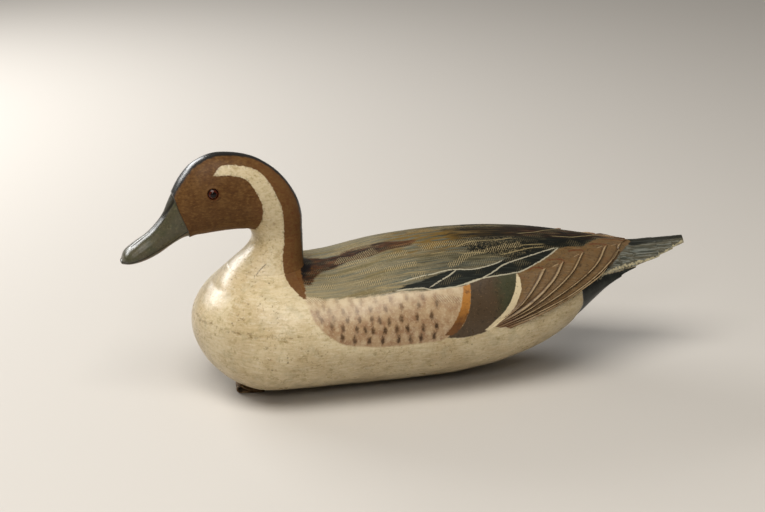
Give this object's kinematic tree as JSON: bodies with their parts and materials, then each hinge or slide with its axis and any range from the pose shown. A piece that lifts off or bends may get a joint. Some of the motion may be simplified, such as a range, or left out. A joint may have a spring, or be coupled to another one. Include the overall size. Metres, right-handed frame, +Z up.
{
  "type": "pintail decoy",
  "caption": "Carved and painted wooden duck decoy of a drake pintail at rest: long raised tail, slim raised head, shingled wing feathers, rests on a flat underside.",
  "frame": {"origin": "under the middle of the decoy's length and width, on the surface that it stands on", "axes": "the bird faces -X, its left side faces -Y, and +Z is up"},
  "size_m": [0.4384, 0.1522, 0.1823],
  "materials": {
    "painted_body": "old oil paint in cream, grey and brown, satin, stained and crazed",
    "painted_head": "old oil paint in brown with a grey-green bill, satin to glossy, worn at the edges",
    "eye_glass": "polished dark amber",
    "tie_leather": "dry, worn and stained"
  },
  "bodies": {
    "root": {"body_upper": "painted_body", "body_lower": "painted_body", "head": "painted_head", "eye_left": "eye_glass", "eye_right": "eye_glass", "line_tie": "tie_leather"}
  },
  "joints": []
}
